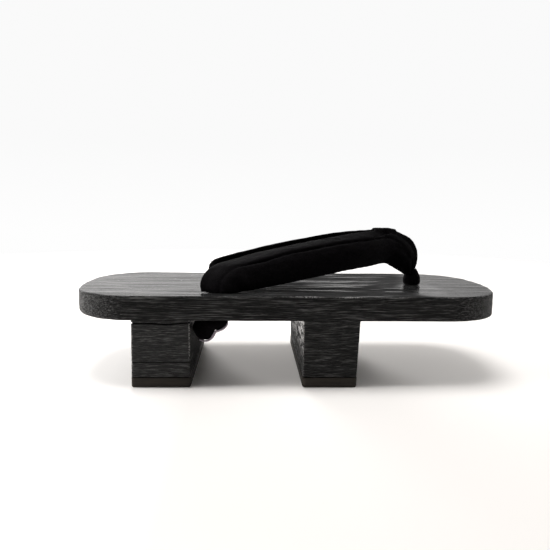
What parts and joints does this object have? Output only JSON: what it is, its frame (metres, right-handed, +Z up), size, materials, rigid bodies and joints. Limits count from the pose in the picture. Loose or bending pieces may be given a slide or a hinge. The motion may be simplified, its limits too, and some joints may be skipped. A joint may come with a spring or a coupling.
{
  "type": "geta sandal",
  "caption": "Wooden geta sandal: flat rounded deck on two cross teeth with rubber treads, held on the foot by a padded cloth thong strap.",
  "frame": {"origin": "on the floor under the middle of the deck: the centre of the bottom of the bounding box", "axes": "+X towards the toe, +Y towards the wearer's left, +Z up from the floor to the deck"},
  "size_m": [0.26, 0.1086, 0.0896],
  "materials": {
    "stained_wood": "black-stained brushed wood grain, satin",
    "tread_rubber": "matt dark rubber",
    "strap_cloth": "matt black padded cloth with a short nap"
  },
  "bodies": {
    "root": {"deck": "stained_wood", "rear_tooth": "stained_wood", "rear_lift": "stained_wood", "front_tooth": "stained_wood", "rear_tread": "tread_rubber", "front_tread": "tread_rubber", "strap": "strap_cloth", "toe_post": "strap_cloth", "front_knot": "strap_cloth", "rear_knot_right": "strap_cloth", "rear_knot_left": "strap_cloth"}
  },
  "joints": []
}
